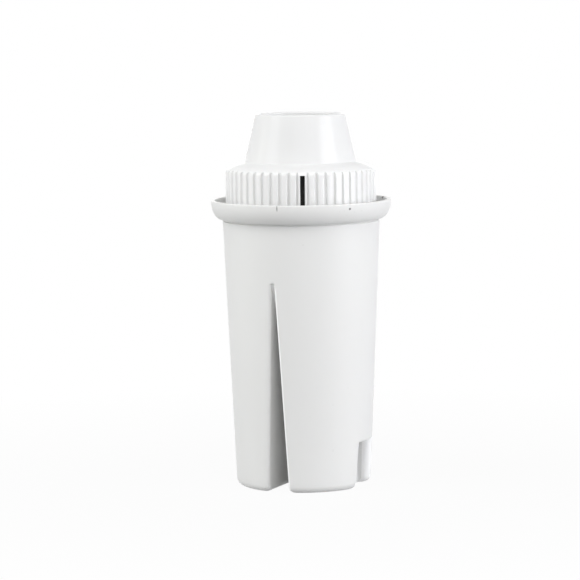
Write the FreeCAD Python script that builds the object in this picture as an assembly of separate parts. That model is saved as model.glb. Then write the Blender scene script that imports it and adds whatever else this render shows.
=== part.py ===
import FreeCAD, Part
import math
import os

# Water pitcher filter cartridge, in millimetres, +Z up.
# It stands on its foot with the origin in the middle of the foot. The key slot faces -Y, the
# side notch faces +X, and an azimuth is counted from -Y towards +X.

# Housing: a tapered cup that ends in a trough-shaped flange
NECK_HEIGHT = 81.25
FOOT_RADIUS = 20.5
NECK_RADIUS = 24.0
FOOT_ROUND = 2.0
FOOT_WALL = 1.2
NECK_WALL = 1.9
FLANGE_OVERHANG = 3.5
FLANGE_FLAT = 0.2
FLANGE_WALL = 1.3
BOWL_HEIGHT = 4.65
RIM_BAND_HEIGHT = 1.7
RIM_ROUND = 0.2

# Key slot: narrow at the top, wide at the foot, with a ramp for its floor
KEY_HEIGHT = 63.5
KEY_FOOT_WIDTH = 6.68
KEY_TOP_WIDTH = 0.96
KEY_END_DEPTH = 0.7
KEY_RAMP_ANGLE = 25.0
KEY_BACK_OFFSET = 2.0
KEY_EDGE_ROUND = 0.45

# Side notch at the foot
NOTCH_HEIGHT = 14.25
NOTCH_FOOT_WIDTH = 12.5
NOTCH_TOP_WIDTH = 10.4
NOTCH_DEPTH = 5.2
NOTCH_EDGE_ROUND = 0.4

# Floor with its strainer
FLOOR_THICKNESS = 1.4
FLOOR_RECESS = 1.0
FOOT_LAND = 2.2
STRAINER_MARGIN = 1.0
STRAINER_SLOT = 1.0
STRAINER_PITCH = 2.4
STRAINER_RIB = 1.2
STRAINER_RIB_PITCH = 11.0
SHORTEST_SLOT = 2.5

# Cap: a ribbed collar, a shoulder and a cone with a recessed top
COLLAR_SETBACK = 1.0
COLLAR_HEIGHT = 13.45
COLLAR_WALL = 2.2
SHOULDER_EDGE_RUN = 0.9
SHOULDER_EDGE_RISE = 1.3
SHOULDER_RISE = 1.85
CONE_FOOT_RADIUS = 17.1
CONE_TOP_RADIUS = 13.63
CONE_HEIGHT = 14.55
CONE_ROUND = 0.4
RECESS_DEPTH = 3.0
RECESS_DRAFT = 0.2
CAP_RIM_WALL = 1.2
CAP_WALL = 1.35
SPIGOT_DEPTH = 3.5

# Grooves and inlet windows of the collar
GROOVE_COUNT = 52
GROOVE_WIDTH = 1.3
GROOVE_FLOOR_WIDTH = 0.7
GROOVE_DEPTH = 0.5
WINDOW_COUNT = 4
WINDOW_WIDTH = 1.5
WINDOW_ABOVE_COLLAR = 0.2
WINDOW_AZIMUTH = 23.75

# Air vents in the recessed top
VENT_COUNT = 16
VENT_WIDTH = 0.8
VENT_INNER_RADIUS = 4.5
VENT_OUTER_RADIUS = 9.5

# Screens and granules
MESH_THICKNESS = 0.4
SCREEN_LEDGE = 0.8
BED_ABOVE_SEAT = 8.45

# Clearances
SPIGOT_CLEARANCE = 0.1
SCREEN_CLEARANCE = 0.1
BED_CLEARANCE = 0.1

# Bulge of each curved stretch, as a share of the straight line between its ends
FLANGE_BULGE = 0.159
SHOULDER_EDGE_BULGE = 0.13
SHOULDER_BULGE = 0.046

# Radii and heights that follow from the sizes above
FLANGE_RADIUS = NECK_RADIUS + FLANGE_OVERHANG
COLLAR_RADIUS = NECK_RADIUS - COLLAR_SETBACK
CAP_BORE = COLLAR_RADIUS - COLLAR_WALL
SHOULDER_EDGE_RADIUS = COLLAR_RADIUS - SHOULDER_EDGE_RUN
SEAT_Z = NECK_HEIGHT + FLANGE_WALL
BOWL_TOP = NECK_HEIGHT + BOWL_HEIGHT
FLANGE_TOP = BOWL_TOP + RIM_BAND_HEIGHT
FLOOR_TOP = FLOOR_RECESS + FLOOR_THICKNESS
COLLAR_TOP = SEAT_Z + COLLAR_HEIGHT
SHOULDER_EDGE_Z = COLLAR_TOP + SHOULDER_EDGE_RISE
CONE_FOOT_Z = SHOULDER_EDGE_Z + SHOULDER_RISE
CAP_TOP = CONE_FOOT_Z + CONE_HEIGHT
SCREEN_TOP = COLLAR_TOP - MESH_THICKNESS
BED_TOP = SEAT_Z + BED_ABOVE_SEAT
SPIGOT_BOTTOM = SEAT_Z - SPIGOT_DEPTH
GROOVE_AZIMUTH = WINDOW_AZIMUTH - 180 / GROOVE_COUNT

# How far a cutter runs past the faces that it cuts
OVERRUN = 2.0


def body_radius(z):
    """Outer radius of the housing's cone."""
    return FOOT_RADIUS + (NECK_RADIUS - FOOT_RADIUS) * z / NECK_HEIGHT


def cavity_radius(z):
    """Inner radius of the housing, whose wall grows from the foot to the neck."""
    return body_radius(z) - FOOT_WALL - (NECK_WALL - FOOT_WALL) * z / NECK_HEIGHT


def point(radius, z):
    return FreeCAD.Vector(radius, 0, z)


def outline(start, *steps):
    """A closed face in the XZ plane. A step is an end point, or a (through, end) pair, an arc."""
    edges = []
    here = point(*start)
    for step in steps + (start,):
        if isinstance(step[0], tuple):
            through, end = (point(*place) for place in step)
            edges.append(Part.Arc(here, through, end).toShape())
        else:
            end = point(*step)
            if end.distanceToPoint(here) < 1e-9:
                continue
            edges.append(Part.makeLine(here, end))
        here = end
    return Part.Face(Part.Wire(edges))


def turned(face):
    """The solid that a section face makes when it is turned about the Z axis."""
    return face.revolve(FreeCAD.Vector(0, 0, 0), FreeCAD.Vector(0, 0, 1), 360)


def bulged(start, end, bulge):
    """An arc as a (through, end) pair that bulges to the right of the way from start to end."""
    run = end[0] - start[0]
    rise = end[1] - start[1]
    through = ((start[0] + end[0]) / 2 + bulge * rise, (start[1] + end[1]) / 2 - bulge * run)
    return through, end


def prism(points, run):
    """The solid that a flat polygon sweeps out along a vector."""
    corners = [FreeCAD.Vector(*corner) for corner in points]
    return Part.Face(Part.makePolygon(corners + corners[:1])).extrude(FreeCAD.Vector(*run))


def about_axis(shape, azimuth):
    """A copy of a shape that was made towards +X, turned to an azimuth."""
    copy = shape.copy()
    copy.rotate(FreeCAD.Vector(0, 0, 0), FreeCAD.Vector(0, 0, 1), azimuth - 90)
    return copy


def ring(shape, count, first_azimuth):
    """Evenly spaced copies round the axis, as one compound."""
    pitch = 360 / count
    return Part.makeCompound([about_axis(shape, first_azimuth + pitch * n) for n in range(count)])


def slab(bottom, top):
    """Everything near the axis between two heights."""
    return Part.makeCylinder(FLANGE_RADIUS + OVERRUN, top - bottom, FreeCAD.Vector(0, 0, bottom))


def circles_at(solid, radius, z):
    """The circular edges of a solid with this radius and height."""
    found = []
    for edge in solid.Edges:
        if not isinstance(edge.Curve, Part.Circle):
            continue
        same_height = abs(edge.Curve.Center.z - z) < 1e-6
        if same_height and abs(edge.Curve.Radius - radius) < 1e-6:
            found.append(edge)
    return found


def lip_edges(solid, uncut, cutter):
    """The edges that a cutter left on the faces of the uncut solid."""
    found = []
    for edge in solid.Edges:
        middle = edge.valueAt((edge.FirstParameter + edge.LastParameter) / 2)
        probe = Part.Vertex(middle)
        on_solid = probe.distToShape(uncut.Shells[0])[0] < 1e-4
        on_cutter = probe.distToShape(cutter.Shells[0])[0] < 1e-4
        if on_solid and on_cutter:
            found.append(edge)
    return found


def key_slot(grow=0.0):
    """The key slot as a cutter, with its walls, ramp and end moved outwards by grow."""
    lean = math.radians(KEY_RAMP_ANGLE)
    bottom = -OVERRUN
    top = KEY_HEIGHT + grow
    outside = -FLANGE_RADIUS
    back = -KEY_BACK_OFFSET + grow
    ramp_at_top = -body_radius(KEY_HEIGHT) + KEY_END_DEPTH + grow / math.cos(lean)
    ramp_end = ramp_at_top - grow * math.tan(lean)
    knee = KEY_HEIGHT - (back - ramp_at_top) / math.tan(lean)

    def half_width(z):
        taper = (KEY_FOOT_WIDTH - KEY_TOP_WIDTH) / 2 * z / KEY_HEIGHT
        return KEY_FOOT_WIDTH / 2 - taper + grow

    side = [(outside, bottom), (back, bottom), (back, knee), (ramp_end, top), (outside, top)]
    width = KEY_FOOT_WIDTH + 2 * grow + OVERRUN
    depth_prism = prism([(-width / 2, y, z) for y, z in side], (width, 0, 0))
    front = [
        (-half_width(bottom), bottom),
        (half_width(bottom), bottom),
        (half_width(top), top),
        (-half_width(top), top),
    ]
    width_prism = prism([(x, outside, z) for x, z in front], (0, 2 * FLANGE_RADIUS, 0))
    return depth_prism.common(width_prism).Solids[0]


def side_notch(grow=0.0):
    """The notch at the foot as a cutter, with its walls, floor and ceiling moved by grow."""
    bottom = -OVERRUN
    top = NOTCH_HEIGHT + grow
    slope = (NOTCH_FOOT_WIDTH - NOTCH_TOP_WIDTH) / 2 / NOTCH_HEIGHT
    floor_x = FOOT_RADIUS - NOTCH_DEPTH - grow
    foot_half = NOTCH_FOOT_WIDTH / 2 + grow
    corners = [
        (floor_x, -foot_half + slope * bottom, bottom),
        (floor_x, foot_half - slope * bottom, bottom),
        (floor_x, foot_half - slope * top, top),
        (floor_x, -foot_half + slope * top, top),
    ]
    return prism(corners, (FLANGE_RADIUS - floor_x, 0, 0))


def cavity(clearance=0.0):
    """The space inside the housing, up to its mouth, shrunk by a clearance."""
    foot = cavity_radius(FLOOR_TOP) - clearance
    mouth = cavity_radius(SEAT_Z) - clearance
    space = turned(outline((0, FLOOR_TOP), (foot, FLOOR_TOP), (mouth, SEAT_Z), (0, SEAT_Z)))
    space = space.cut(key_slot(FOOT_WALL + clearance))
    return space.cut(side_notch(FOOT_WALL + clearance)).Solids[0]


def housing_blank():
    """The outside of the housing with its flange, still solid and uncut."""
    inner = FLANGE_RADIUS - FLANGE_WALL
    underside = (NECK_RADIUS + FLANGE_FLAT, NECK_HEIGHT)
    bowl_outside = (FLANGE_RADIUS, BOWL_TOP)
    bowl_inside = (inner, BOWL_TOP)
    trough_floor = (NECK_RADIUS, SEAT_Z)
    blank = turned(outline(
        (0, 0),
        (FOOT_RADIUS, 0),
        (NECK_RADIUS, NECK_HEIGHT),
        underside,
        bulged(underside, bowl_outside, FLANGE_BULGE),
        (FLANGE_RADIUS, FLANGE_TOP),
        (inner, FLANGE_TOP),
        bowl_inside,
        bulged(bowl_inside, trough_floor, -FLANGE_BULGE),
        (0, SEAT_Z),
    ))
    blank = blank.makeFillet(FOOT_ROUND, circles_at(blank, FOOT_RADIUS, 0))
    rim = circles_at(blank, FLANGE_RADIUS, FLANGE_TOP) + circles_at(blank, inner, FLANGE_TOP)
    return blank.makeFillet(RIM_ROUND, rim)


def strainer_slots():
    """Rows of slots for the field of the floor that the slot and the notch leave free."""
    reach = FOOT_RADIUS - FOOT_ROUND - FOOT_LAND - STRAINER_MARGIN
    margin = FOOT_WALL + FOOT_LAND + STRAINER_MARGIN
    field = Part.makeCylinder(reach, FLOOR_TOP + 2 * OVERRUN, FreeCAD.Vector(0, 0, -OVERRUN))
    field = field.cut(key_slot(margin)).cut(side_notch(margin))
    height = FLOOR_TOP + OVERRUN
    length = STRAINER_RIB_PITCH - STRAINER_RIB
    rows = math.floor(reach / STRAINER_PITCH)
    columns = math.ceil(reach / STRAINER_RIB_PITCH)
    slots = []
    for row in range(-rows, rows + 1):
        for column in range(-columns, columns):
            x = row * STRAINER_PITCH - STRAINER_SLOT / 2
            y = column * STRAINER_RIB_PITCH + STRAINER_RIB / 2
            bar = Part.makeBox(STRAINER_SLOT, length, height, FreeCAD.Vector(x, y, -OVERRUN / 2))
            for piece in bar.common(field).Solids:
                if piece.BoundBox.YLength > SHORTEST_SLOT:
                    slots.append(piece)
    return Part.makeCompound(slots)


def make_housing():
    """The moulded cup: blank, key slot, notch and recess cut out, then hollowed."""
    blank = housing_blank()
    slot = key_slot()
    notch = side_notch()
    body = blank.cut(slot).cut(notch)
    body = body.makeFillet(KEY_EDGE_ROUND, lip_edges(body, blank, slot))
    body = body.makeFillet(NOTCH_EDGE_ROUND, lip_edges(body, blank, notch))

    recess_radius = FOOT_RADIUS - FOOT_ROUND - FOOT_LAND
    recess = Part.makeCylinder(recess_radius, FLOOR_RECESS + OVERRUN, FreeCAD.Vector(0, 0, -OVERRUN))
    recess = recess.cut(key_slot(FOOT_WALL + FOOT_LAND)).cut(side_notch(FOOT_WALL + FOOT_LAND))
    return body.cut(recess).cut(cavity()).cut(strainer_slots()).Solids[0]


def make_cap():
    """The moulded cap: shell with spigot, then grooves, windows and vents."""
    spigot_top = cavity_radius(SEAT_Z) - SPIGOT_CLEARANCE
    spigot_foot = cavity_radius(SPIGOT_BOTTOM) - SPIGOT_CLEARANCE
    collar_edge = (COLLAR_RADIUS, COLLAR_TOP)
    shoulder_edge = (SHOULDER_EDGE_RADIUS, SHOULDER_EDGE_Z)
    cone_foot = (CONE_FOOT_RADIUS, CONE_FOOT_Z)
    recess_radius = CONE_TOP_RADIUS - CAP_RIM_WALL
    recess_floor = CAP_TOP - RECESS_DEPTH
    ceiling = recess_floor - CAP_WALL
    taper = (CONE_FOOT_RADIUS - CONE_TOP_RADIUS) / CONE_HEIGHT
    throat = CONE_FOOT_Z - CAP_WALL
    shell = turned(outline(
        (CAP_BORE, SPIGOT_BOTTOM),
        (spigot_foot, SPIGOT_BOTTOM),
        (spigot_top, SEAT_Z),
        (COLLAR_RADIUS, SEAT_Z),
        collar_edge,
        bulged(collar_edge, shoulder_edge, SHOULDER_EDGE_BULGE),
        bulged(shoulder_edge, cone_foot, SHOULDER_BULGE),
        (CONE_TOP_RADIUS, CAP_TOP),
        (recess_radius, CAP_TOP),
        (recess_radius - RECESS_DRAFT, recess_floor),
        (0, recess_floor),
        (0, ceiling),
        (CONE_TOP_RADIUS + taper * (CAP_TOP - ceiling) - CAP_WALL, ceiling),
        (CONE_TOP_RADIUS + taper * (CAP_TOP - throat) - CAP_WALL, throat),
        (CAP_BORE - SCREEN_LEDGE, COLLAR_TOP),
        (CAP_BORE, COLLAR_TOP),
    ))
    rounded = circles_at(shell, CONE_TOP_RADIUS, CAP_TOP) + circles_at(shell, recess_radius, CAP_TOP)
    rounded += circles_at(shell, CONE_FOOT_RADIUS, CONE_FOOT_Z)
    shell = shell.makeFillet(CONE_ROUND, rounded)

    inner = COLLAR_RADIUS - GROOVE_DEPTH
    outer = COLLAR_RADIUS + OVERRUN
    flare = (GROOVE_WIDTH - GROOVE_FLOOR_WIDTH) / 2 / GROOVE_DEPTH
    outer_half = GROOVE_FLOOR_WIDTH / 2 + flare * (outer - inner)
    foot = SEAT_Z
    groove = prism([
        (inner, -GROOVE_FLOOR_WIDTH / 2, foot),
        (outer, -outer_half, foot),
        (outer, outer_half, foot),
        (inner, GROOVE_FLOOR_WIDTH / 2, foot),
    ], (0, 0, COLLAR_HEIGHT + OVERRUN))
    groove_reach = turned(outline(
        (inner, foot),
        (outer, foot),
        (outer, COLLAR_TOP + outer - COLLAR_RADIUS),
        (inner, COLLAR_TOP - GROOVE_DEPTH),
    ))
    groove = groove.common(groove_reach)
    shell = shell.cut(ring(groove, GROOVE_COUNT, GROOVE_AZIMUTH))

    window = Part.makeBox(
        COLLAR_RADIUS + OVERRUN - CAP_BORE + OVERRUN,
        WINDOW_WIDTH,
        COLLAR_HEIGHT + WINDOW_ABOVE_COLLAR,
        FreeCAD.Vector(CAP_BORE - OVERRUN, -WINDOW_WIDTH / 2, SEAT_Z),
    )
    shell = shell.cut(ring(window, WINDOW_COUNT, WINDOW_AZIMUTH))

    vent = Part.makeBox(
        VENT_OUTER_RADIUS - VENT_INNER_RADIUS,
        VENT_WIDTH,
        CAP_WALL + 2 * OVERRUN,
        FreeCAD.Vector(VENT_INNER_RADIUS, -VENT_WIDTH / 2, ceiling - OVERRUN),
    )
    return shell.cut(ring(vent, VENT_COUNT, 0)).Solids[0]


def make_inlet_screen():
    """A mesh cup, open downwards, against the ledge inside the cap."""
    outer = CAP_BORE - SCREEN_CLEARANCE
    inner = outer - MESH_THICKNESS
    return turned(outline(
        (inner, SPIGOT_BOTTOM),
        (outer, SPIGOT_BOTTOM),
        (outer, COLLAR_TOP),
        (0, COLLAR_TOP),
        (0, SCREEN_TOP),
        (inner, SCREEN_TOP),
    ))


def make_outlet_screen():
    """A mesh sheet that covers the whole strainer floor."""
    return cavity(SCREEN_CLEARANCE).common(slab(FLOOR_TOP, FLOOR_TOP + MESH_THICKNESS)).Solids[0]


def make_granulate_bed():
    """The filling, up to its level inside the mesh cup."""
    bottom = FLOOR_TOP + MESH_THICKNESS
    top = SPIGOT_BOTTOM - BED_CLEARANCE
    filling = cavity(BED_CLEARANCE).common(slab(bottom, top))
    radius = CAP_BORE - SCREEN_CLEARANCE - MESH_THICKNESS - BED_CLEARANCE
    heap = Part.makeCylinder(radius, BED_TOP - top, FreeCAD.Vector(0, 0, top))
    return filling.fuse(heap).removeSplitter().Solids[0]


def save(name, solid):
    solid.exportStep("parts/" + name + ".step")
    box = solid.optimalBoundingBox()
    print(name, "valid", solid.isValid(), "volume", round(solid.Volume, 1),
          "z", round(box.ZMin, 2), round(box.ZMax, 2), "width", round(box.XLength, 2))


os.makedirs("parts", exist_ok=True)
save("housing", make_housing())
save("cap", make_cap())
save("inlet_screen", make_inlet_screen())
save("outlet_screen", make_outlet_screen())
save("granulate_bed", make_granulate_bed())
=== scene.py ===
# %% [markdown]
# # Water pitcher filter cartridge
#
# A filter cartridge for a water pitcher: a tapered white cup with a trough-shaped flange, a deep
# key slot down its front, a notch at its foot, and a ribbed cap with tall narrow inlet windows
# under a raised cone. Both mouldings are plain white plastic, so the whole look comes from soft
# edges, thin shadows and a quiet gloss.
#
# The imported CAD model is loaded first. It is the fixed frame: every piece made here stands where
# a CAD piece stands and stays inside its box. Soft edges and finishes are added, and a few forms
# follow the picture more closely than the CAD model does. The cells say which.

# %% Load the frame
import math

import bpy
from mathutils import Matrix, Vector


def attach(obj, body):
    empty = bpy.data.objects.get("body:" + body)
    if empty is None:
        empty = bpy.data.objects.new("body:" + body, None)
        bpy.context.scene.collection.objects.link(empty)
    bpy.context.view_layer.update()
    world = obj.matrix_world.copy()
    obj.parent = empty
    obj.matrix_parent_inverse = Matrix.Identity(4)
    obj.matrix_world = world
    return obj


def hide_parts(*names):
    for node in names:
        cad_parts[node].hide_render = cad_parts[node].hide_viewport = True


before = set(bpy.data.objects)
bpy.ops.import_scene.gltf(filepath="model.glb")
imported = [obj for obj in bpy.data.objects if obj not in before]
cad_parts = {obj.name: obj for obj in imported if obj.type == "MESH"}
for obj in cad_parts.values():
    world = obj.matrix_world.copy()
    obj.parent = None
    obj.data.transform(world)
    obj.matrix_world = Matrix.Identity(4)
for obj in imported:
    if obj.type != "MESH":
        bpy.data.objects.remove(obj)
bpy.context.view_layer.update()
print("nodes", sorted(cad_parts))

# %% [markdown]
# ## Sizes
#
# The sizes are in millimetres, and most are the CAD model's own. The line under the flange, which
# starts with `NECK_LINE`, is not in the CAD model: there the bowl starts at `NECK_HEIGHT`, half a
# millimetre lower. `BOWL_TOP` is 85.9 there, under a straight rim band 1.7 mm tall. Here the curve
# goes on nearly to the rim and leaves a band of 0.3 mm. Blender works in metres, so a mesh is
# scaled by `MM` when it is built.

# %% Sizes of the housing and the cap
MM = 0.001

NECK_HEIGHT = 81.25
FOOT_RADIUS = 20.5
NECK_RADIUS = 24.0
FOOT_ROUND = 2.0
FOOT_WALL = 1.2
NECK_WALL = 1.9
FLANGE_RADIUS = 27.5
FLANGE_WALL = 1.3
SEAT_Z = NECK_HEIGHT + FLANGE_WALL
FLANGE_TOP = 87.6
RIM_ROUND = 0.2
NECK_LINE_DEPTH = 0.5
NECK_LINE_FOOT = 81.15
NECK_LINE_TOP = 81.75
BOWL_TOP = FLANGE_TOP - 0.3
FLOOR_RECESS = 1.0
FLOOR_TOP = 2.4
FOOT_LAND = 2.2

COLLAR_RADIUS = 23.0
COLLAR_TOP = 96.0
CAP_BORE = 20.8
SPIGOT_BOTTOM = 79.05
CAP_TOP = 113.7
PITCH = 360 / 52


def body_radius(z):
    """Outer radius of the housing's cone at a height."""
    return FOOT_RADIUS + (NECK_RADIUS - FOOT_RADIUS) * z / NECK_HEIGHT


def cavity_radius(z):
    """Inner radius of the housing, whose wall grows from the foot to the neck."""
    return body_radius(z) - FOOT_WALL - (NECK_WALL - FOOT_WALL) * z / NECK_HEIGHT


print("wall at the foot", round(body_radius(0) - cavity_radius(0), 2), "mm")

# %% [markdown]
# ## One way to add nodes
#
# Materials and Geometry Nodes are both node trees. `Tree.add` makes any node: its settings are
# given first, then the values or links of its inputs by name. `Value` wraps an output socket, so
# that sums such as `1 - mask` or `noise * 0.2` can be written as plain expressions, and each
# operator adds its Math node. Numbers alone never become nodes: Python works them out.

# %% Tree and Value
def operator(operation, reflected=False):
    """A method that adds a Math node. Reflected is for a number on the left, as in 1 - mask."""
    def apply(self, other):
        return self.math(operation, *((other, self) if reflected else (self, other)))
    return apply


class Value:
    """An output socket that can be used in sums."""

    def __init__(self, tree, socket):
        self.tree = tree
        self.socket = socket

    def math(self, operation, *operands):
        return self.tree.add("ShaderNodeMath", {"operation": operation}, dict(enumerate(operands)))

    __add__, __radd__ = operator("ADD"), operator("ADD", reflected=True)
    __sub__, __rsub__ = operator("SUBTRACT"), operator("SUBTRACT", reflected=True)
    __mul__, __rmul__ = operator("MULTIPLY"), operator("MULTIPLY", reflected=True)
    __truediv__, __rtruediv__ = operator("DIVIDE"), operator("DIVIDE", reflected=True)
    above = operator("GREATER_THAN")
    below = operator("LESS_THAN")
    larger = operator("MAXIMUM")
    modulo = operator("FLOORED_MODULO")

    def clamped(self):
        return self.tree.add("ShaderNodeClamp", {}, {"Value": self})


class Tree:
    """A node tree with one method for every kind of node."""

    def __init__(self, tree):
        self.tree = tree

    def add(self, kind, settings=None, inputs=None, output=0):
        node = self.tree.nodes.new(kind)
        for name, setting in (settings or {}).items():
            setattr(node, name, setting)
        for name, value in (inputs or {}).items():
            if isinstance(value, Value):
                self.tree.links.new(value.socket, node.inputs[name])
            else:
                node.inputs[name].default_value = value
        if not node.outputs:
            return node
        return Value(self, node.outputs[output])


def linear(level):
    """The linear value of an sRGB level from 0 to 255."""
    share = level / 255
    return share / 12.92 if share <= 0.04045 else ((share + 0.055) / 1.055) ** 2.4


def colour(red, green, blue):
    """A linear colour from the sRGB levels that a picture shows."""
    return (linear(red), linear(green), linear(blue), 1.0)


print("a level of 230 is", round(linear(230), 3), "in linear light")

# %% [markdown]
# ## Finishes
#
# The housing and the cap are injection moulded polypropylene: white, a little translucent, with
# a soft gloss. A clean white moulding has almost no pattern, so the finish is made of small things:
# a faint waviness, a roughness and a tone that drift a little, and a few specks at fixed places.

# %% Moulded white plastic
def new_material(name):
    """A material, its tree and the object's own coordinates in it."""
    material = bpy.data.materials.new(name)
    material.use_nodes = True
    material.node_tree.nodes.clear()
    tree = Tree(material.node_tree)
    return material, tree, tree.add("ShaderNodeTexCoord", {}, {}, "Object")


def finish_with(tree, shader):
    tree.add("ShaderNodeOutputMaterial", {}, {"Surface": shader})


def noise(tree, place, scale, detail):
    """Noise from 0 to 1 whose scale is in bumps for each metre."""
    return tree.add("ShaderNodeTexNoise", {}, {"Vector": place, "Scale": scale, "Detail": detail})


def spot(tree, place, centre, size):
    """A soft mask, 1 at a point of the piece and 0 from size away. Both are in metres."""
    offset = tree.add("ShaderNodeVectorMath", {"operation": "SUBTRACT"}, {0: place, 1: centre})
    scaled = tree.add("ShaderNodeVectorMath", {"operation": "DIVIDE"}, {0: offset, 1: size})
    distance = tree.add("ShaderNodeVectorMath", {"operation": "LENGTH"}, {0: scaled}, "Value")
    return (1.6 * (1 - distance)).clamped()


def mixed(tree, factor, first, second):
    """First colour where factor is 0, second where it is 1."""
    settings = {"data_type": "RGBA"}
    return tree.add("ShaderNodeMix", settings, {0: factor, 6: first, 7: second}, 2)


def on_body(azimuth, radius, z):
    """A point in metres from an azimuth that is counted from the key slot towards the notch."""
    angle = math.radians(azimuth)
    return (radius * math.sin(angle) * MM, -radius * math.cos(angle) * MM, z * MM)


WHITE_GLOSS = 0.42
WAVES_PER_METRE = 38.0
GRAIN_PER_METRE = 900.0
MARK_COLOUR = colour(60, 58, 56)


def moulded_white(name, pale, shaded, polish, marks=(), lower=None, lips=None):
    """White polypropylene. Polish is the weight and roughness of the thin shine on top of it.

    Marks are soft dark spots: specks and scuffs that handling leaves, and one dark patch on the
    inner wall of the flange's rim. Lower is another tone for what stands below a height. The cap
    uses it for its collar. A real cap has one colour: the two tones make up for lamps that do not
    light the collar and the cone as in the picture. Lips is the colour of a painted highlight, put
    where the mesh attribute painted_highlight_lip is 1.
    """
    material, tree, place = new_material(name)
    drift = noise(tree, place, WAVES_PER_METRE, 3.0)
    fine = noise(tree, place, GRAIN_PER_METRE, 2.0)
    tone = mixed(tree, drift, shaded, pale)
    if lower is not None:
        low_colour, low_z, high_z = lower
        height = tree.add("ShaderNodeSeparateXYZ", {}, {"Vector": place}, "Z")
        share = ((high_z - height) / (high_z - low_z)).clamped()
        tone = mixed(tree, share, tone, low_colour)
    if lips is not None:
        on_lip = tree.add("ShaderNodeAttribute", {"attribute_name": "painted_highlight_lip"}, {}, "Fac")
        tone = mixed(tree, on_lip, tone, lips)
    for azimuth, radius, z, wide, tall, strength in marks:
        half = (wide * MM / 2, wide * MM / 2, tall * MM / 2)
        mask = spot(tree, place, on_body(azimuth, radius, z), half) * strength
        tone = mixed(tree, mask, tone, MARK_COLOUR)
    relief = drift * 0.6 + fine * 0.04
    bump = tree.add("ShaderNodeBump", {}, {"Strength": 0.05, "Distance": 0.0004, "Height": relief})
    shader = tree.add("ShaderNodeBsdfPrincipled", {}, {
        "Base Color": tone,
        "Roughness": WHITE_GLOSS + drift * 0.08 + fine * 0.05,
        "IOR": 1.49,
        "Coat Weight": polish[0],
        "Coat Roughness": polish[1],
        "Subsurface Weight": 0.12,
        "Subsurface Radius": (0.0016, 0.0015, 0.0014),
        "Subsurface Scale": 1.0,
        "Normal": bump,
    })
    finish_with(tree, shader)
    return material


# Azimuth, radius, height, width across, height of the mark (all in mm), and strength.
# The mark at 129 degrees darkens a patch on the inner wall of the flange's rim.
HOUSING_MARKS = [
    (7.3, 27.4, 86.8, 0.6, 2.4, 0.6), (54.5, 27.4, 86.2, 1.05, 0.95, 0.8),
    (50.6, 27.4, 85.7, 0.5, 0.4, 0.1), (47.3, 27.4, 85.5, 0.7, 0.4, 0.06),
    (52.9, 27.1, 84.3, 0.5, 0.4, 0.08), (58.2, 27.3, 85.2, 0.5, 0.5, 0.08),
    (63.9, 27.3, 85.4, 1.2, 0.7, 0.05), (129.0, 26.3, 87.4, 2.2, 1.3, 0.8),
    (23.6, 23.8, 75.6, 0.8, 0.6, 0.07), (60.8, 21.9, 31.6, 0.7, 0.7, 0.04),
    (33.5, 21.9, 32.3, 0.7, 0.7, 0.03), (46.9, 21.7, 26.8, 0.9, 0.6, 0.04),
    (27.8, 21.5, 23.5, 0.8, 0.6, 0.03), (47.3, 21.1, 12.8, 0.8, 1.2, 0.05),
]
# The housing's lips are painted pure white: a painted highlight.
housing_white = moulded_white(
    "housing_white", colour(232, 232, 231), colour(228, 228, 227), (0.06, 0.2), HOUSING_MARKS,
    lips=colour(255, 255, 255))
cap_white = moulded_white(
    "cap_white", colour(226, 226, 226), colour(223, 223, 223), (0.26, 0.05),
    lower=(colour(235, 235, 235), COLLAR_TOP * MM, (COLLAR_TOP + 2.5) * MM))
print("finishes", housing_white.name, cap_white.name)

# %% [markdown]
# ## Meshes from rings
#
# The housing is one moulding whose outline changes all the way up: a circle, a circle with a
# deep slot, a circle with a slot and a notch. It could be cut with Booleans, as in CAD, but the
# render needs clean soft edges, and a Boolean leaves long thin triangles that shade badly. So
# it is a loft: every ring has the same number of points in the same order, and each ring is
# joined to the next by quads. Where the slot is shut, its points simply lie on the circle.

# %% Mesh helpers
def placed(name, data):
    """An object in the scene for a mesh, a lamp or a camera."""
    made = bpy.data.objects.new(name, data)
    bpy.context.scene.collection.objects.link(made)
    return made


def mesh_object(name, points, faces):
    """A mesh object from points in millimetres."""
    mesh = bpy.data.meshes.new(name)
    mesh.from_pydata([tuple(float(c) * MM for c in point) for point in points], [], faces)
    mesh.validate()
    return placed(name, mesh)


def smooth(made, angle=40.0):
    """Smooth shading, with edges sharper than the angle kept crisp."""
    made.data.polygons.foreach_set("use_smooth", [True] * len(made.data.polygons))
    made.data.set_sharp_from_angle(angle=math.radians(angle))
    return made


def loft(name, rings, capped=False):
    """A skin over rings of equally many points: the last joins the first, or both are capped."""
    count = len(rings[0])
    points = [point for ring in rings for point in ring]
    faces = []
    for row in range(len(rings) - capped):
        here = row * count
        above = (row + 1) % len(rings) * count
        for n in range(count):
            after = (n + 1) % count
            faces.append((here + n, here + after, above + after, above + n))
    if capped:
        faces.append(tuple(range(count))[::-1])
        faces.append(tuple(range(len(points) - count, len(points))))
    return mesh_object(name, points, faces)


def triangles(made):
    return sum(len(face.vertices) - 2 for face in made.data.polygons)


def steps(start, end, count):
    return [start + (end - start) * n / count for n in range(count + 1)]


# %% [markdown]
# A ring is walked once round from the back. `recess_path` gives its points over a slot or a
# notch, seen from above in its own frame: across it, and outwards. The lip is rounded, the side
# wall is straight and the corner with the floor of the slot has a small fillet. The ramp of the
# key slot is then nothing but a floor that lies further in on each lower ring.

# %% Rings with the key slot and the notch
LIP_STEPS = 9
SIDE_STEPS = 5
CORNER_STEPS = 5
BED_STEPS = 6


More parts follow.
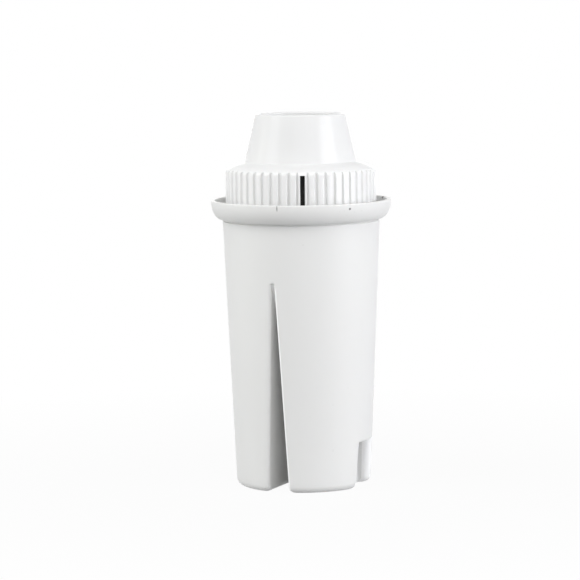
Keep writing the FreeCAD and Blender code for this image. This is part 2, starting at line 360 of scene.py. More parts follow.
def recess_path(radius, half, bed, depth, lips, corner):
    """Points over a recess in a circle: lip, side wall, floor, side wall, lip.

    The floor is either flat at the distance bed from the axis, or follows the circle at a depth.
    """
    def arc(u):
        return math.sqrt(radius ** 2 - u ** 2)

    deep = arc(half) - bed if depth is None else depth
    if deep <= 0:
        deep = depth = 0.0

    def floor(u):
        return bed if depth is None else arc(u) - depth

    def side(lip):
        share = min(1.0, deep / (lip + corner))
        found = []
        for angle in steps(0, math.pi / 2, LIP_STEPS):
            u = half + lip * (1 - math.sin(angle))
            found.append((u, arc(u) - share * lip * (1 - math.cos(angle))))
        top = arc(half) - share * lip
        foot = floor(half) + share * corner
        for v in steps(top, foot, SIDE_STEPS)[1:-1]:
            found.append((half, v))
        for angle in steps(0, math.pi / 2, CORNER_STEPS):
            u = half - corner * (1 - math.cos(angle))
            found.append((u, floor(u) + share * corner * (1 - math.sin(angle))))
        return found

    width = half - corner
    middle = [(u, floor(u)) for u in steps(-width, width, BED_STEPS)[1:-1]]
    return [(-u, v) for u, v in side(lips[0])] + middle + side(lips[1])[::-1]


BACK_COUNT = 64
BETWEEN_COUNT = 26
REST_COUNT = 34


def ring_at(z, radius, slot, notch):
    """One ring of the housing, with the slot towards -Y and the notch towards +X."""
    slot_points = [(u, -v, z) for u, v in recess_path(radius, *slot)]
    notch_points = [(v, u, z) for u, v in recess_path(radius, *notch)]

    def azimuth(point):
        return math.degrees(math.atan2(point[0], -point[1]))

    def arc(start, end, count):
        found = []
        for angle in steps(math.radians(start), math.radians(end), count)[1:-1]:
            found.append((radius * math.sin(angle), -radius * math.cos(angle), z))
        return found

    back = (0.0, radius, z)
    to_slot = arc(-180, azimuth(slot_points[0]), BACK_COUNT)
    between = arc(azimuth(slot_points[-1]), azimuth(notch_points[0]), BETWEEN_COUNT)
    rest = arc(azimuth(notch_points[-1]), 180, REST_COUNT)
    return [back] + to_slot + slot_points + between + notch_points + rest


test_recess = (3, 10, None, (0.4, 0.4), 0.3)
print("points in a ring", len(ring_at(0, 20, test_recess, test_recess)))

# %% [markdown]
# ## Housing: the tapered cup
#
# The rings go up the outside from the foot to the neck, round the trough of the flange, over
# the seat of the cap, down the cavity and back to the foot through the recess, so the moulding
# is one closed skin with a wall. The cavity's rings use the same slot and notch, grown by the
# wall, which is how such a part is moulded. Over its last 7.5 mm the slot rises to 0.4 mm
# shallower than in the CAD model, because its end is only a faint dent in the picture. The lips
# were changed for the likeness: 1.2 and 0.65 mm on the slot, where the CAD model has 0.45, and
# 0.35 and 3 mm on the notch, where it has 0.4. It leaves the corners inside both of them sharp.

# %% Slot and notch at each height
KEY_HEIGHT = 63.5
KEY_FOOT_WIDTH = 6.68
KEY_TOP_WIDTH = 0.96
KEY_END_DEPTH = 0.7
KEY_RAMP = math.radians(25.0)
KEY_BACK = 2.0
KEY_LIPS = (1.2, 0.65)
KEY_END_ROUND = 0.8
KEY_END_RISE = 0.4
KEY_RISE_FROM = 56.0
KEY_FILLET = 0.4
KNEE_ROUND = 2.0
SLOT_FOOT_ROUND = 1.4

NOTCH_HEIGHT = 14.25
NOTCH_FOOT_WIDTH = 12.5
NOTCH_TOP_WIDTH = 10.4
NOTCH_FLOOR = 15.3
NOTCH_LIPS = (0.35, 3.0)
NOTCH_TOP_ROUND = 0.4
NOTCH_FILLET = 0.5
INNER_LIPS = (0.3, 0.3)


def eased(share):
    """A soft step from 0 to 1."""
    share = min(1.0, max(0.0, share))
    return share * share * (3 - 2 * share)


def rounded_foot(z, radius):
    """How far a wall has moved sideways where its lower edge is rounded."""
    if z >= radius:
        return 0.0
    return radius - math.sqrt(radius ** 2 - (radius - z) ** 2)


def key_slot(z, grow=0.0, lips=KEY_LIPS, depth=None, foot_round=0.0):
    """The key slot's half width, floor and roundings at a height."""
    half = (KEY_FOOT_WIDTH - (KEY_FOOT_WIDTH - KEY_TOP_WIDTH) * z / KEY_HEIGHT) / 2
    half = max(half, KEY_TOP_WIDTH / 2) + grow + rounded_foot(z, foot_round)
    rise = KEY_END_RISE * eased((z - KEY_RISE_FROM) / (KEY_HEIGHT - KEY_RISE_FROM))
    end_depth = KEY_END_DEPTH - rise
    ramp = body_radius(KEY_HEIGHT) - end_depth - (KEY_HEIGHT - z) * math.tan(KEY_RAMP)
    ramp -= grow / math.cos(KEY_RAMP)
    back = KEY_BACK - grow
    spread = max(0.0, 1 - abs(ramp - back) / (2 * KNEE_ROUND))
    bed = max(ramp, back) + KNEE_ROUND * spread ** 2 / 2
    if z > KEY_HEIGHT + 1e-6 and depth is None:
        depth = 0.0
    return half, bed, depth, lips, min(KEY_FILLET, half / 2)


def side_notch(z, grow=0.0, lips=NOTCH_LIPS, depth=None, foot_round=0.0):
    """The notch's half width, floor and roundings at a height."""
    height = min(z, NOTCH_HEIGHT)
    half = (NOTCH_FOOT_WIDTH - (NOTCH_FOOT_WIDTH - NOTCH_TOP_WIDTH) * height / NOTCH_HEIGHT) / 2
    half += grow + rounded_foot(z, foot_round)
    if z > NOTCH_HEIGHT + grow + 1e-6 and depth is None:
        depth = 0.0
    return half, NOTCH_FLOOR - grow, depth, lips, NOTCH_FILLET


def outer_ring(z, slot_depth=None, notch_depth=None):
    radius = body_radius(z) - rounded_foot(z, FOOT_ROUND)
    slot = key_slot(z, depth=slot_depth, foot_round=SLOT_FOOT_ROUND)
    notch = side_notch(z, depth=notch_depth, foot_round=SLOT_FOOT_ROUND / 2)
    return ring_at(z, radius, slot, notch)


def plain_ring(radius, z):
    """A ring above the slot and the notch, where both are shut."""
    return ring_at(z, radius, key_slot(KEY_HEIGHT, depth=0.0), side_notch(NOTCH_HEIGHT, depth=0.0))


# %% Rings up the outside
def bulged(start, end, bulge, count):
    """Points on a shallow arc from start to end that bulges to the right of the way."""
    found = []
    for share in steps(0, 1, count)[1:]:
        lift = 4 * share * (1 - share) * bulge
        r = start[0] + (end[0] - start[0]) * share + lift * (end[1] - start[1])
        z = start[1] + (end[1] - start[1]) * share - lift * (end[0] - start[0])
        found.append((r, z))
    return found


def rounded(corners, count=5):
    """A profile whose corners, given as (r, z, radius), are rounded by arcs."""
    found = []
    for n, (r, z, radius) in enumerate(corners):
        if radius == 0 or n in (0, len(corners) - 1):
            found.append((r, z))
            continue
        here = Vector((r, z))
        before = (Vector(corners[n - 1][:2]) - here).normalized()
        after = (Vector(corners[n + 1][:2]) - here).normalized()
        half = before.angle(after) / 2
        start = here + before * radius / math.tan(half)
        end = here + after * radius / math.tan(half)
        centre = here + (before + after).normalized() * radius / math.sin(half)
        for share in steps(0, 1, count):
            arm = (start - centre).slerp(end - centre, share)
            arm = arm.normalized() * radius
            found.append(tuple(centre + arm))
    return found


def quarter(radius, count):
    """A rounded edge, as pairs of how far up it a ring is and how deep it still cuts."""
    return [(radius * (1 - math.cos(angle)), radius * (1 - math.sin(angle)))
            for angle in steps(0, math.pi / 2, count)]


body_heights = [15.6, 16.5, 17.5, 18.5, 19.5, 20.5, 21.5, 22.5, 24.0] + steps(27.0, 60.0, 11)
outside = [outer_ring(up) for up, _ in quarter(FOOT_ROUND, 7)]
outside += [outer_ring(z) for z in (3.5, 5.5, 8.0, 11.0, 13.0, NOTCH_HEIGHT)]
outside += [outer_ring(NOTCH_HEIGHT + up, notch_depth=cut)
            for up, cut in quarter(NOTCH_TOP_ROUND, 4)]
outside += [outer_ring(z) for z in body_heights + [61.5, 62.7, KEY_HEIGHT]]
outside += [outer_ring(KEY_HEIGHT + up, slot_depth=cut) for up, cut in quarter(KEY_END_ROUND, 4)]
outside += [plain_ring(body_radius(z), z) for z in steps(65.0, 79.8, 5)]
print("rings up the cup", len(outside))

# %% [markdown]
# On the real part a thin highlight runs along the right lip of the slot and the lips of the notch.
# The lamps here do not make it, so it is written as a paler colour on those lips. That is a
# shortcut: a highlight moves with the eye, and this line stays. A number stored on the points of
# the lips tells the finish where they are.

# %% Painted highlight on the lips
SIDE_COUNT = LIP_STEPS + 1 + SIDE_STEPS - 1 + CORNER_STEPS + 1
RECESS_COUNT = 2 * SIDE_COUNT + BED_STEPS - 1


def painted_highlight_lips(ring_count, points_in_ring):
    """1 on the right lip of the slot and on both lips of the notch, 0 elsewhere."""
    slot_start = BACK_COUNT
    notch_start = slot_start + RECESS_COUNT + BETWEEN_COUNT - 1
    one_ring = [0.0] * points_in_ring
    for n in range(1, LIP_STEPS + 1):
        one_ring[slot_start + RECESS_COUNT - 1 - n] = 1.0
        one_ring[notch_start + n] = 1.0
        one_ring[notch_start + RECESS_COUNT - 1 - n] = 1.0
    slot_rings = sum(1 for ring in outside if ring[0][2] < KEY_HEIGHT - 1.5)
    notch_rings = sum(1 for ring in outside if ring[0][2] < NOTCH_HEIGHT + 0.01)
    found = []
    for row in range(ring_count):
        kept = list(one_ring)
        if row >= notch_rings:
            kept[notch_start:notch_start + RECESS_COUNT] = [0.0] * RECESS_COUNT
        if row >= slot_rings:
            kept = [0.0] * points_in_ring
        found += kept
    return found


# %% [markdown]
# The flange is a round trough: it curves out from the neck like the rim of a bowl until it stands
# upright. Seen from the side that curve is a quarter of an ellipse, which darkens evenly towards
# its underside, where an arc of a circle would leave a crease. Each point of it becomes a ring.

# %% Rings over the flange and down the cavity
def quarter_ellipse(low, high, count):
    """Points from low, where the curve lies flat, up to high, where it stands upright."""
    found = []
    for angle in steps(0, math.pi / 2, count):
        r = low[0] + (high[0] - low[0]) * math.sin(angle)
        z = high[1] - (high[1] - low[1]) * math.cos(angle)
        found.append((r, z))
    return found


inner = FLANGE_RADIUS - FLANGE_WALL
underside = (NECK_RADIUS + 0.2, NECK_LINE_TOP)
neck_foot = (body_radius(NECK_LINE_FOOT - 0.4), NECK_LINE_FOOT - 0.4)
neck_line = NECK_RADIUS - NECK_LINE_DEPTH
under = rounded([
    (*neck_foot, 0), (body_radius(NECK_LINE_FOOT), NECK_LINE_FOOT, 0.15),
    (neck_line, NECK_LINE_FOOT + 0.2, 0.1), (neck_line, NECK_LINE_TOP, 0.08),
    (*underside, 0)], 3)[:-1]
under += quarter_ellipse(underside, (FLANGE_RADIUS, BOWL_TOP), 16)
rim = rounded([
    (FLANGE_RADIUS, BOWL_TOP, 0), (FLANGE_RADIUS, FLANGE_TOP, RIM_ROUND),
    (inner, FLANGE_TOP, RIM_ROUND), (inner, BOWL_TOP, 0),
], 4)[1:-1]
trough = quarter_ellipse((NECK_RADIUS, SEAT_Z), (inner, BOWL_TOP), 12)[::-1]
mouth = rounded([(NECK_RADIUS, SEAT_Z, 0), (cavity_radius(SEAT_Z), SEAT_Z, 0.15),
                 (cavity_radius(SEAT_Z - 1), SEAT_Z - 1, 0)], 3)[1:]
flange = [plain_ring(r, z) for r, z in under + rim + trough + mouth]

cavity = []
for z in steps(80.0, 5.0, 30) + [3.6, FLOOR_TOP]:
    slot = key_slot(z, grow=FOOT_WALL, lips=INNER_LIPS, depth=0.0 if z > 62 else None)
    notch = side_notch(z, grow=FOOT_WALL, lips=INNER_LIPS)
    cavity.append(ring_at(z, cavity_radius(z), slot, notch))


def recess_ring(z, back_off):
    """A ring of the foot's recess, whose land is as wide everywhere."""
    grow = FOOT_WALL + FOOT_LAND - back_off
    slot = key_slot(z, grow=grow, lips=INNER_LIPS)
    notch = side_notch(z, grow=grow, lips=INNER_LIPS)
    return ring_at(z, FOOT_RADIUS - FOOT_ROUND - FOOT_LAND + back_off, slot, notch)


floor_rings = [recess_ring(FLOOR_TOP, 0), recess_ring(FLOOR_RECESS, 0), recess_ring(0.25, 0),
               recess_ring(0.0, 0.2)]
housing = loft("housing_moulding", outside + flange + cavity + floor_rings)
on_lips = painted_highlight_lips(len(outside), len(outside[0]))
layer = housing.data.attributes.new("painted_highlight_lip", "FLOAT", "POINT")
layer.data.foreach_set("value", on_lips + [0.0] * (len(housing.data.vertices) - len(on_lips)))
smooth(housing, 38.0)
housing.data.materials.append(housing_white)
print("housing triangles", triangles(housing))

# %% [markdown]
# ## Strainer floor
#
# Water leaves through rows of slots in the floor. The picture does not show them, so their pattern
# is a guess. Each row is cut to the room that the key slot and the notch leave, so first the rows
# are measured in Python: one point for each slot, with its length stored on the point. Geometry
# Nodes then put a cutter on every point and take the cutters out of the plate.

# %% Places of the strainer slots
STRAINER_SLOT = 1.0
STRAINER_PITCH = 2.4
STRAINER_RIB = 1.2
STRAINER_RIB_PITCH = 11.0
STRAINER_MARGIN = 1.0
SHORTEST_SLOT = 2.5

plate_ring = recess_ring(FLOOR_RECESS, 0.2)
field_grow = FOOT_WALL + FOOT_LAND + STRAINER_MARGIN
field_reach = FOOT_RADIUS - FOOT_ROUND - FOOT_LAND - STRAINER_MARGIN


def is_clear(x, y, z, reach, grow):
    """Whether a point is within reach of the axis and clear of the grown slot and notch."""
    half, bed = key_slot(z, grow=grow)[:2]
    notch_half, notch_bed = side_notch(z, grow=grow)[:2]
    clear_of_slot = abs(x) > half or -y < bed
    clear_of_notch = abs(y) > notch_half or x < notch_bed
    return math.hypot(x, y) < reach and clear_of_slot and clear_of_notch


def open_runs(is_open, reach, count, shortest):
    """Stretches from -reach to reach where is_open holds, as (middle, length)."""
    found = []
    start = None
    for along in steps(-reach, reach, count):
        free = is_open(along)
        if free and start is None:
            start = along
        if not free and start is not None:
            if along - start > shortest:
                found.append(((start + along) / 2, along - start))
            start = None
    return found


def slot_rows():
    """Every slot of the strainer, as (x, middle, length)."""
    found = []
    rows = int(field_reach / STRAINER_PITCH)
    for row in range(-rows, rows + 1):
        x = row * STRAINER_PITCH

        def is_open(y):
            gap = abs((y + STRAINER_RIB_PITCH / 2) % STRAINER_RIB_PITCH - STRAINER_RIB_PITCH / 2)
            return gap > STRAINER_RIB / 2 and all(
                is_clear(x + side, y, FLOOR_RECESS, field_reach, field_grow)
                for side in (-STRAINER_SLOT / 2, STRAINER_SLOT / 2))

        runs = open_runs(is_open, field_reach, 300, SHORTEST_SLOT)
        found += [(x, middle, length) for middle, length in runs]
    return found


strainer_places = slot_rows()
print("strainer slots", len(strainer_places))

# %% Node group helpers
def new_group(name, inputs):
    """A Geometry Nodes group with named inputs, and its input and output nodes."""
    group = bpy.data.node_groups.new(name, "GeometryNodeTree")
    sockets = group.interface
    sockets.new_socket("Geometry", in_out="INPUT", socket_type="NodeSocketGeometry")
    for title, kind in inputs.items():
        sockets.new_socket(title, in_out="INPUT", socket_type="NodeSocket" + kind)
    sockets.new_socket("Geometry", in_out="OUTPUT", socket_type="NodeSocketGeometry")
    tree = Tree(group)
    start = group.nodes.new("NodeGroupInput")
    given = {socket.name: Value(tree, socket) for socket in start.outputs if socket.name}
    return group, tree, given


def shape_of(tree, thing, whole=False):
    """The mesh of an object, or the object whole, to be picked as one instance."""
    inputs = {"Object": thing, "As Instance": whole}
    return tree.add("GeometryNodeObjectInfo", {}, inputs, "Geometry")


def joined(tree, *parts):
    both = tree.tree.nodes.new("GeometryNodeJoinGeometry")
    for part in parts:
        tree.tree.links.new(part.socket, both.inputs[0])
    return Value(tree, both.outputs[0])


def laid_copies(tree, points, shape, tall=1.0):
    """Copies on points, stretched along Y and turned about Z by what the points store."""
    stored = [tree.add("GeometryNodeInputNamedAttribute", {"data_type": "FLOAT"}, {"Name": title})
              for title in ("length", "turn")]
    size = tree.add("ShaderNodeCombineXYZ", {}, {"X": 1.0, "Y": stored[0], "Z": tall})
    lean = tree.add("ShaderNodeCombineXYZ", {}, {"Z": stored[1]})
    return tree.add("GeometryNodeInstanceOnPoints", {}, {
        "Points": points, "Instance": shape, "Rotation": lean, "Scale": size})


def end_group(tree, geometry):
    end = tree.tree.nodes.new("NodeGroupOutput")
    tree.tree.links.new(geometry.socket, end.inputs[0])


def close_group(tree, geometry, material):
    """Ends a group in Realize Instances and Set Material."""
    real = tree.add("GeometryNodeRealizeInstances", {}, {"Geometry": geometry})
    painted = tree.add("GeometryNodeSetMaterial", {}, {"Geometry": real, "Material": material})
    end_group(tree, painted)


def run_group(name, carrier, group, values):
    """Runs a group on a carrier object and returns the result as a plain mesh object."""
    modifier = carrier.modifiers.new(group.name, "NODES")
    modifier.node_group = group
    for item in group.interface.items_tree:
        if item.in_out == "INPUT" and item.name in values:
            modifier[item.identifier] = values[item.name]
    bpy.context.view_layer.update()
    evaluated = carrier.evaluated_get(bpy.context.evaluated_depsgraph_get())
    mesh = bpy.data.meshes.new_from_object(evaluated)
    mesh.name = name
    carrier.modifiers.remove(modifier)
    made = placed(name, mesh)
    print(name, "triangles", triangles(made))
    return made


def discard(*helpers):
    for helper in helpers:
        bpy.data.objects.remove(helper)


# %% Strainer by Geometry Nodes
def slab_object(name, ring, bottom, top):
    """A flat plate over the outline of a ring."""
    return loft(name, [[(x, y, z) for x, y, _ in ring] for z in (bottom, top)], capped=True)


def cutting_group(name, cutter):
    """Takes a cutter out of the incoming mesh at every point of another object."""
    group, tree, given = new_group(name, {
        "Places": "Object", "Material": "Material",
        "Cut Depth": "Float"})
    copies = laid_copies(tree, shape_of(tree, given["Places"]), shape_of(tree, cutter),
                         given["Cut Depth"])
    real = tree.add("GeometryNodeRealizeInstances", {}, {"Geometry": copies})
    cut = tree.add("GeometryNodeMeshBoolean", {"operation": "DIFFERENCE", "solver": "EXACT"}, {
        "Mesh 1": given["Geometry"], "Mesh 2": real})
    close_group(tree, cut, given["Material"])
    return group


def places_object(name, places):
    """Loose points, each with a length in millimetres and a turn about Z in radians."""
    holder = mesh_object(name, [place[:3] for place in places], [])
    for title, column in (("length", 3), ("turn", 4)):
        layer = holder.data.attributes.new(title, "FLOAT", "POINT")
        layer.data.foreach_set("value", [float(place[column]) for place in places])
    return holder


def slot_cutter(name, width):
    ring = [(-width / 2, -0.5, 0), (width / 2, -0.5, 0), (width / 2, 0.5, 0), (-width / 2, 0.5, 0)]
    return slab_object(name, ring, -0.5, 0.5)


plate = slab_object("plate", plate_ring, FLOOR_RECESS, FLOOR_TOP - 0.02)
cutter = slot_cutter("strainer_cutter", STRAINER_SLOT)
places = places_object("strainer_places", [
    (x, y, 1.7, length, 0.0) for x, y, length in strainer_places])
strainer = run_group("strainer_floor", plate, cutting_group("Strainer", cutter), {
    "Places": places, "Material": housing_white, "Cut Depth": 3.0})
discard(plate, cutter, places)

# %% [markdown]
# ## Cap
#
# The collar of the cap has 52 ribs, and each gap between two ribs is the same. So one slice of
# the cap is modelled, from the middle of one groove to the middle of the next, with the whole
# section of the cap on it. Geometry Nodes stand the slices in a ring and weld them. Every
# thirteenth slice is another kind, in which a tall window takes the place of the rib: one window
# is seen and four are a guess. The grooves are 0.12 mm deeper than in the CAD model, because
# shallower ones gave weaker lines than the picture shows. They are 0.14 mm wider as well, and
# the windows 0.04 mm narrower. The well in the top widens a little towards its floor, to a radius
# of 12.9 mm, where the CAD model narrows to 12.23.

# %% Section of the cap
GROOVE_DEPTH = 0.62
GROOVE_FLOOR_HALF = 0.3
GROOVE_LIP_HALF = 0.72
WINDOW_HALF = 0.73
WINDOW_FRAME_LIP = 0.16
WINDOW_TOP = 96.2
WINDOW_AZIMUTH = 23.75
CONE_FOOT = (17.1, 99.15)
CONE_TOP_RADIUS = 13.63
CAP_RIM_WALL = 1.2
RECESS_FLOOR = CAP_TOP - 3.0
RECESS_FLOOR_RADIUS = 12.9
CAP_WALL = 1.35
VENT_PLATE_RADIUS = 11.2

spigot_top = cavity_radius(SEAT_Z) - 0.1
collar_heights = [SEAT_Z, SEAT_Z + 0.15] + steps(84.5, 95.0, 4)
collar_rows = [(COLLAR_RADIUS, z) for z in collar_heights] + [(COLLAR_RADIUS, COLLAR_TOP)]
edge_end = (COLLAR_RADIUS - 0.9, 97.3)
edge_start = (COLLAR_RADIUS - 0.015, WINDOW_TOP)
edge_rows = [edge_start] + bulged(edge_start, edge_end, 0.13, 12)
shoulder_rows = bulged(edge_end, (18.0, 98.87), 0.03, 4)
cone_slope = (CONE_FOOT[0] - CONE_TOP_RADIUS) / (CAP_TOP - CONE_FOOT[1])
cone_rows = rounded([
    (18.0, 98.87, 0), (*CONE_FOOT, 0.5), (CONE_TOP_RADIUS + cone_slope * 8, CAP_TOP - 8, 0),
    (CONE_TOP_RADIUS, CAP_TOP, 0.42), (CONE_TOP_RADIUS - CAP_RIM_WALL, CAP_TOP, 0.42),
    (RECESS_FLOOR_RADIUS, RECESS_FLOOR, 0.35), (VENT_PLATE_RADIUS, RECESS_FLOOR, 0),
], 5)[1:]
throat = (CONE_FOOT[0] + 0.15 - CAP_WALL, CONE_FOOT[1] - CAP_WALL)
ceiling = RECESS_FLOOR - CAP_WALL
inside_rows = [
    (VENT_PLATE_RADIUS, ceiling), (CONE_TOP_RADIUS + cone_slope * 4.35 - CAP_WALL, ceiling),
    throat, (19.4, WINDOW_TOP), (CAP_BORE - 0.8, COLLAR_TOP)]
bore_rows = [(CAP_BORE, z) for z in [COLLAR_TOP] + collar_heights[::-1] + [SPIGOT_BOTTOM]]
spigot_rows = [(cavity_radius(SPIGOT_BOTTOM) - 0.1, SPIGOT_BOTTOM), (spigot_top, SEAT_Z)]
section = (collar_rows + edge_rows + shoulder_rows + cone_rows
           + inside_rows + bore_rows + spigot_rows)
print("rows in the section", len(section))

# %% One slice of the cap
half_pitch = math.radians(PITCH) / 2 * COLLAR_RADIUS
GROOVE_GAPS = (0.0, 0.15, 0.3, 0.38, 0.46, 0.54, 0.63, 0.72)
near_lip = [half_pitch - gap for gap in GROOVE_GAPS]
across = [-gap for gap in near_lip] + [-WINDOW_HALF + 0.02, 0.0, WINDOW_HALF - 0.02]
across = sorted(set([round(s, 5) for s in across + near_lip + [WINDOW_HALF, -WINDOW_HALF]]))


def groove_depth(s, window):
    """Depth of the groove at a distance from the middle of the rib or of the window."""
    gap = half_pitch - abs(s)
    if window:
        return GROOVE_DEPTH * eased(1 - gap / WINDOW_FRAME_LIP)
    return GROOVE_DEPTH * eased((GROOVE_LIP_HALF - gap) / (GROOVE_LIP_HALF - GROOVE_FLOOR_HALF))


def slice_object(name, window):
    """A slice of the cap about the azimuth 0, with or without the window in its rib."""
    points = []
    collar_count = len(collar_rows)
    grooved_count = collar_count + len(edge_rows)
    for row, (r, z) in enumerate(section):
        for s in across:
            angle = s / COLLAR_RADIUS
            bottom = COLLAR_RADIUS - groove_depth(s, window)
            radius = min(r, bottom) if row < grooved_count else r
            points.append((radius * math.sin(angle), -radius * math.cos(angle), z))
    width = len(across)
    first = across.index(round(-WINDOW_HALF, 5))
    last = across.index(round(WINDOW_HALF, 5))
    outer_end = collar_count
    bore_start = section.index((19.4, WINDOW_TOP))
    bore_end = section.index((CAP_BORE, SPIGOT_BOTTOM)) - 1
    faces = []
    for row in range(len(section)):
        after = (row + 1) % len(section)
        in_outer = row < outer_end
        in_bore = bore_start <= row < bore_end
        for n in range(width - 1):
            if window and (in_outer or in_bore) and first <= n < last:
                continue
            faces.append((row * width + n, row * width + n + 1,
                          after * width + n + 1, after * width + n))
    if window:
        outer_rows = list(range(0, outer_end + 1))
        inner_rows = list(range(bore_start, bore_end + 1))
        loop = outer_rows + inner_rows
        faces.append(tuple(row * width + first for row in loop))
        faces.append(tuple(row * width + last for row in loop[::-1]))
        for n in range(first, last):
            top = (outer_end * width + n, outer_end * width + n + 1,
                   bore_start * width + n + 1, bore_start * width + n)
            bottom = (bore_end * width + n, bore_end * width + n + 1, n + 1, n)
            faces.append(top)
            faces.append(bottom)
    return mesh_object(name, points, faces)


rib_slice = slice_object("rib_slice", False)
window_slice = slice_object("window_slice", True)
print("slice faces", len(rib_slice.data.polygons), len(window_slice.data.polygons))

# %% Ring of slices by Geometry Nodes
ring_group, tree, given = new_group("Ring of slices", {
    "Count": "Int", "Window Every": "Int", "First Angle": "Float",
    "Weld": "Float", "Rib": "Object", "Window": "Object",
    "Material": "Material"})
spots = tree.add("GeometryNodePoints", {}, {"Count": given["Count"]})
index = tree.add("GeometryNodeInputIndex")
angle = given["First Angle"] + index * (2 * math.pi) / given["Count"]
turn = tree.add("ShaderNodeCombineXYZ", {}, {"Z": angle})
both = joined(tree, shape_of(tree, given["Rib"], True), shape_of(tree, given["Window"], True))
is_rib = index.modulo(given["Window Every"]).above(0.5)
copies = tree.add("GeometryNodeInstanceOnPoints", {}, {
    "Points": spots, "Instance": both, "Pick Instance": True,
    "Instance Index": is_rib, "Rotation": turn})
real = tree.add("GeometryNodeRealizeInstances", {}, {"Geometry": copies})
welded = tree.add("GeometryNodeMergeByDistance", {}, {"Geometry": real, "Distance": given["Weld"]})
close_group(tree, welded, given["Material"])

carrier = mesh_object("cap_carrier", [(0, 0, 0)], [])
cap = run_group("cap_moulding", carrier, ring_group, {
    "Count": 52, "Window Every": 13, "First Angle": math.radians(WINDOW_AZIMUTH), "Weld": 0.000002,
    "Rib": rib_slice, "Window": window_slice, "Material": cap_white})
smooth(cap, 35.0)
discard(carrier, rib_slice, window_slice)

# %% [markdown]
# ## Vent plate in the recessed top
#
# The top of the cone is a shallow round well. Air has to leave the cartridge, so its floor has a
# ring of radial vents. The picture does not show that floor, so the vents are a guess. The plate
# is cut in the same way as the strainer, with its own points.

# %% Vent plate
VENT_COUNT = 16
VENT_WIDTH = 0.8
VENT_MIDDLE = 7.0
VENT_LENGTH = 5.0

disc = [(VENT_PLATE_RADIUS * math.sin(a), -VENT_PLATE_RADIUS * math.cos(a), 0.0)
        for a in steps(0, 2 * math.pi, 96)[:-1]]
vent_disc = slab_object("vent_disc", disc, ceiling, RECESS_FLOOR)
vent_places = []
for n in range(VENT_COUNT):
    a = 2 * math.pi * n / VENT_COUNT
    x, y = VENT_MIDDLE * math.sin(a), -VENT_MIDDLE * math.cos(a)
    vent_places.append((x, y, 110.0, VENT_LENGTH, a))
vent_cutter = slot_cutter("vent_cutter", VENT_WIDTH)
vent_points = places_object("vent_places", vent_places)
vent_plate = run_group("vent_plate", vent_disc, cutting_group("Vents", vent_cutter), {
    "Places": vent_points, "Material": cap_white, "Cut Depth": 4.0})
discard(vent_disc, vent_cutter, vent_points)

# %% [markdown]
# ## Screens
#
# Behind the windows stands a cup of fine black mesh, and a pale mesh lies on the strainer floor.
# Both are laid from thin threads that do not pass over and under each other. A thread is only a
# three-sided bar, because there are hundreds and each is under a pixel wide. A plain black sleeve
# and lid back the cup, so that the window looks as black as in the picture. They are painted
# shade: black sheets for the dark hollow of the cap, with the black granules behind their lower
# part. A real mesh would have no such sleeve.

# %% Black and pale thread
def thread(name, tint, gloss):
    material, tree, place = new_material(name)
    drift = noise(tree, place, 700.0, 2.0)
    dark = tuple(c * 0.6 for c in tint[:3]) + (1.0,)
    shader = tree.add("ShaderNodeBsdfPrincipled", {}, {
        "Base Color": mixed(tree, drift, dark, tint), "Roughness": gloss + drift * 0.15})
    finish_with(tree, shader)
    return material


black_thread = thread("black_thread", colour(34, 34, 33), 0.55)
pale_thread = thread("pale_thread", colour(214, 214, 208), 0.5)

# %% Inlet screen: hoops and uprights by Geometry Nodes
BAR_FACES = [(0, 1, 4, 3), (1, 2, 5, 4), (2, 0, 3, 5), (2, 1, 0), (3, 4, 5)]


def ring_mesh(name, profile, segments):
    """A closed ring with the given (r, z) profile, all round."""
    turns = steps(0, 2 * math.pi, segments)[:-1]
    return loft(name, [[(r * math.sin(a), -r * math.cos(a), z) for r, z in profile[::-1]]
                       for a in turns])


screen_group, tree, given = new_group("Woven cup", {
    "Uprights": "Int", "Hoops": "Int", "Hoop Pitch": "Float",
    "Upright": "Object", "Hoop": "Object", "Material": "Material"})
index = tree.add("GeometryNodeInputIndex")
upright_spots = tree.add("GeometryNodePoints", {}, {"Count": given["Uprights"]})
turn = tree.add("ShaderNodeCombineXYZ", {}, {"Z": index * (2 * math.pi) / given["Uprights"]})
uprights = tree.add("GeometryNodeInstanceOnPoints", {}, {
    "Points": upright_spots, "Instance": shape_of(tree, given["Upright"]), "Rotation": turn})
hoop_place = tree.add("ShaderNodeCombineXYZ", {}, {"Z": index * given["Hoop Pitch"]})
hoop_spots = tree.add("GeometryNodePoints", {}, {"Count": given["Hoops"], "Position": hoop_place})
hoops = tree.add("GeometryNodeInstanceOnPoints", {}, {
    "Points": hoop_spots, "Instance": shape_of(tree, given["Hoop"])})
close_group(tree, joined(tree, uprights, hoops), given["Material"])

screen_radius = CAP_BORE - 0.3
hoop = ring_mesh("hoop", [(screen_radius + 0.1, 79.3), (screen_radius + 0.1, 79.45),
                          (screen_radius - 0.08, 79.375)], 120)
upright = mesh_object("upright", [
    (x, -r, z) for z in (SPIGOT_BOTTOM + 0.1, COLLAR_TOP - 0.2)
    for x, r in ((-0.07, screen_radius), (0.07, screen_radius), (0.0, screen_radius + 0.15))
], BAR_FACES)
carrier = mesh_object("screen_carrier", [(0, 0, 0)], [])
inlet = run_group("inlet_weave", carrier, screen_group, {
    "Uprights": 260, "Hoops": 34, "Hoop Pitch": 0.49 * MM, "Upright": upright, "Hoop": hoop,
    "Material": black_thread})
discard(carrier, hoop, upright)

# %% Rim and lid of the inlet screen
# The lid and the sleeve are painted shade for the dark hollow of the cap.
lid_profile = [(0.01, 95.6), (0.01, 95.98), (20.65, 95.98), (20.65, 95.75), (20.4, 95.6)]
lid = ring_mesh("inlet_lid", lid_profile, 96)
lid.data.materials.append(black_thread)
backing = ring_mesh("inlet_backing", [(20.3, 79.1), (20.4, 79.1), (20.4, 95.7), (20.3, 95.7)], 120)
backing.data.materials.append(black_thread)

# %% Outlet screen
OUTLET_PITCH = 0.8
OUTLET_LAYERS = (2.55, 2.65)
SHORTEST_THREAD = 1.0


